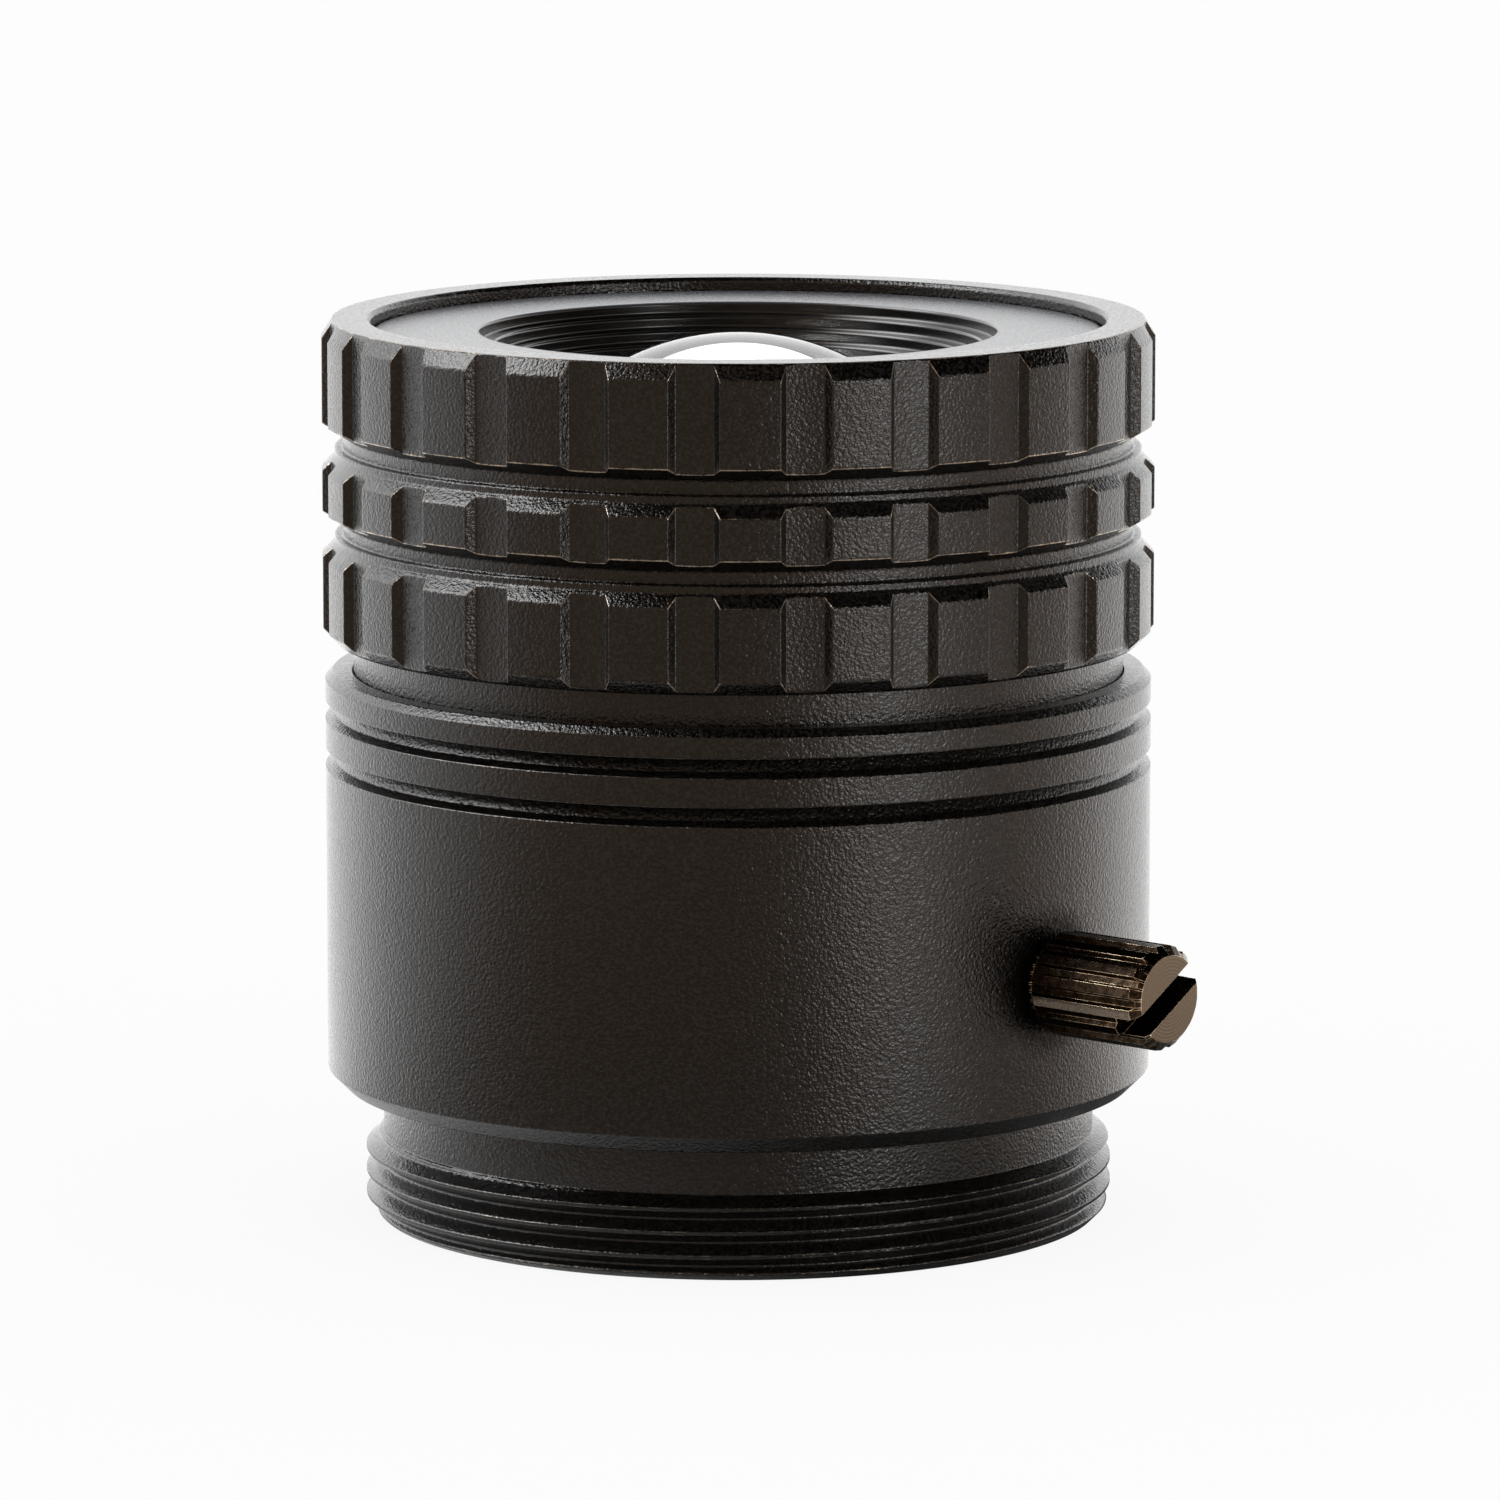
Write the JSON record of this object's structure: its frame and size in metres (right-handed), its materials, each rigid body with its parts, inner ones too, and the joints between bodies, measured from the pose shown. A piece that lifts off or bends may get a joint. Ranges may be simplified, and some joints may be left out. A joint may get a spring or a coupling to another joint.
{
  "type": "cs-mount lens",
  "caption": "Manual-focus camera lens with a screw mount, a knurled focus ring, a domed front glass and a focus lock screw.",
  "frame": {"origin": "centre of the rear end of the mount thread, on the optical axis", "axes": "+Z along the optical axis, out of the front; the lock screw is 48 degrees from -Y towards +X"},
  "size_m": [0.0292, 0.0282, 0.0305],
  "materials": {
    "housing_black": "fine blasted and black anodised",
    "ring_black": "fine blasted and black anodised",
    "front_black": "satin black anodised",
    "inner_black": "matt black anodised",
    "glass": "polished and coated",
    "blackened_brass": "blackened, worn bright at the edges",
    "pin_steel": "ground",
    "nylon": "natural nylon"
  },
  "bodies": {
    "housing": {"mount_housing": "housing_black", "guide_pin_left": "pin_steel", "guide_pin_right": "pin_steel"},
    "lens_unit": {"lens_carrier": "inner_black", "ring_retainer": "inner_black", "stop_pin": "pin_steel", "name_ring": "front_black", "lens_cell": "inner_black", "front_retaining_ring": "inner_black", "front_element": "glass", "front_spacer": "inner_black", "second_element": "glass", "middle_spacer": "inner_black", "third_element": "glass", "stop_spacer": "inner_black", "aperture_stop": "inner_black", "doublet_front": "glass", "doublet_rear": "glass", "rear_spacer": "inner_black", "sixth_element": "glass", "rear_thin_spacer": "inner_black", "rear_element": "glass", "rear_retaining_ring": "inner_black"},
    "focus_ring": {"focus_ring": "ring_black", "slip_washer": "nylon"},
    "lock_pad": {"lock_pad": "nylon"},
    "lock_screw": {"lock_screw": "blackened_brass"}
  },
  "joints": [
    {"name": "focus_travel", "type": "slide", "parent": "housing", "child": "lens_unit", "axis": [0, 0, 1], "range_m": [-0.001, 0.0005]},
    {"name": "focus_turn", "type": "hinge", "parent": "lens_unit", "child": "focus_ring", "pos_m": [0, 0, 0.02], "axis": [0, 0, 1], "range_deg": [-90, 45]},
    {"name": "lock_travel", "type": "slide", "parent": "housing", "child": "lock_pad", "axis": [0.7431, -0.6691, 0], "range_m": [0, 0.0008]},
    {"name": "lock_turn", "type": "hinge", "parent": "lock_pad", "child": "lock_screw", "pos_m": [0.01189, -0.01071, 0.00951], "axis": [0.7431, -0.6691, 0], "range_deg": [0, 720]}
  ],
  "couplings": [
    {"joint": "focus_turn", "follows": "focus_travel", "rad_per_m": 1570.8},
    {"joint": "lock_turn", "follows": "lock_travel", "rad_per_m": 15708}
  ]
}
